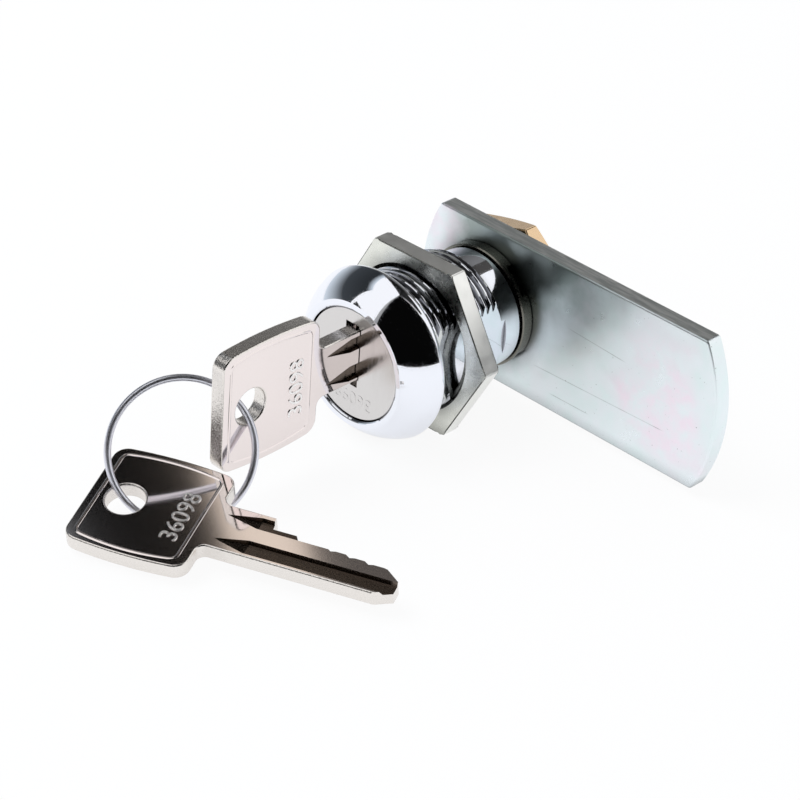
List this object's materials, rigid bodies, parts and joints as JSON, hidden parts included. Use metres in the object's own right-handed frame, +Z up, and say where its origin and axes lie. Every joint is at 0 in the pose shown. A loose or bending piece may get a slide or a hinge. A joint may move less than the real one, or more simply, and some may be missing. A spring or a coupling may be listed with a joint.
{
  "type": "cam lock",
  "caption": "Round-faced threaded cam lock with a hexagon fixing nut, a flat turning cam and two flat keys on a wire ring.",
  "frame": {"origin": "on the lock's axis, in the plane of the bezel's rear face that lies on the door", "axes": "+Y along the axis from the face into the cabinet, +X the way the cam points when locked open as in the picture, +Z up"},
  "size_m": [0.052, 0.0726, 0.0234],
  "materials": {
    "chrome_plating": "bright chrome plating on die-cast zinc",
    "satin_nickel": "satin nickel plating with a fine grain",
    "wafer_brass": "stamped brass",
    "spring_steel": "bright drawn wire",
    "nut_zinc": "zinc-plated steel, satin",
    "stop_disc_steel": "dark plated steel",
    "cam_zinc": "zinc-plated pressed steel with a faint blue sheen",
    "nut_brass": "plain brass",
    "key_nickel": "nickel-plated, tumbled edges",
    "ring_wire": "bright steel wire"
  },
  "bodies": {
    "barrel": {"barrel": "chrome_plating", "fixing_nut": "nut_zinc"},
    "plug": {"plug": "satin_nickel", "stop_disc": "stop_disc_steel", "cam": "cam_zinc", "cam_nut": "nut_brass", "retaining_wafer": "wafer_brass", "retaining_spring": "spring_steel", "wafer_spring_1": "spring_steel", "wafer_spring_2": "spring_steel", "wafer_spring_3": "spring_steel", "wafer_spring_4": "spring_steel", "wafer_spring_5": "spring_steel"},
    "key": {"key": "key_nickel"},
    "key_ring": {"key_ring": "ring_wire"},
    "spare_key": {"spare_key": "key_nickel"},
    "wafer_1": {"wafer_1": "wafer_brass"},
    "wafer_2": {"wafer_2": "wafer_brass"},
    "wafer_3": {"wafer_3": "wafer_brass"},
    "wafer_4": {"wafer_4": "wafer_brass"},
    "wafer_5": {"wafer_5": "wafer_brass"}
  },
  "joints": [
    {"name": "plug_turn", "type": "hinge", "parent": "barrel", "child": "plug", "pos_m": [0, 0, 0], "axis": [0, 1, 0], "range_deg": [0, 90]},
    {"name": "key_slide", "type": "slide", "parent": "plug", "child": "key", "axis": [0, -1, 0], "range_m": [0, 0.0245]},
    {"name": "wafer_slide_1", "type": "slide", "parent": "plug", "child": "wafer_1", "axis": [0, 0, -1], "range_m": [0, 0.0012], "deforming": ["wafer_spring_1"]},
    {"name": "wafer_slide_2", "type": "slide", "parent": "plug", "child": "wafer_2", "axis": [0, 0, -1], "range_m": [0, 0.0012], "deforming": ["wafer_spring_2"]},
    {"name": "wafer_slide_3", "type": "slide", "parent": "plug", "child": "wafer_3", "axis": [0, 0, -1], "range_m": [0, 0.0012], "deforming": ["wafer_spring_3"]},
    {"name": "wafer_slide_4", "type": "slide", "parent": "plug", "child": "wafer_4", "axis": [0, 0, -1], "range_m": [0, 0.0012], "deforming": ["wafer_spring_4"]},
    {"name": "wafer_slide_5", "type": "slide", "parent": "plug", "child": "wafer_5", "axis": [0, 0, -1], "range_m": [0, 0.0012], "deforming": ["wafer_spring_5"]},
    {"name": "ring_swing", "type": "hinge", "parent": "key", "child": "key_ring", "pos_m": [0, -0.02315, 0.0017], "axis": [-1, 0, 0], "range_deg": [0, 75]},
    {"name": "spare_key_swing", "type": "hinge", "parent": "key_ring", "child": "spare_key", "pos_m": [-0.00376, -0.03861, -0.00823], "axis": [-0.0832, 0.1998, -0.9763], "range_deg": [0, 90]}
  ],
  "couplings": [
    {"joint": "wafer_slide_1", "follows": "key_slide", "ratio": 0.04898},
    {"joint": "wafer_slide_2", "follows": "key_slide", "ratio": 0.04898},
    {"joint": "wafer_slide_3", "follows": "key_slide", "ratio": 0.04898},
    {"joint": "wafer_slide_4", "follows": "key_slide", "ratio": 0.04898},
    {"joint": "wafer_slide_5", "follows": "key_slide", "ratio": 0.04898}
  ]
}
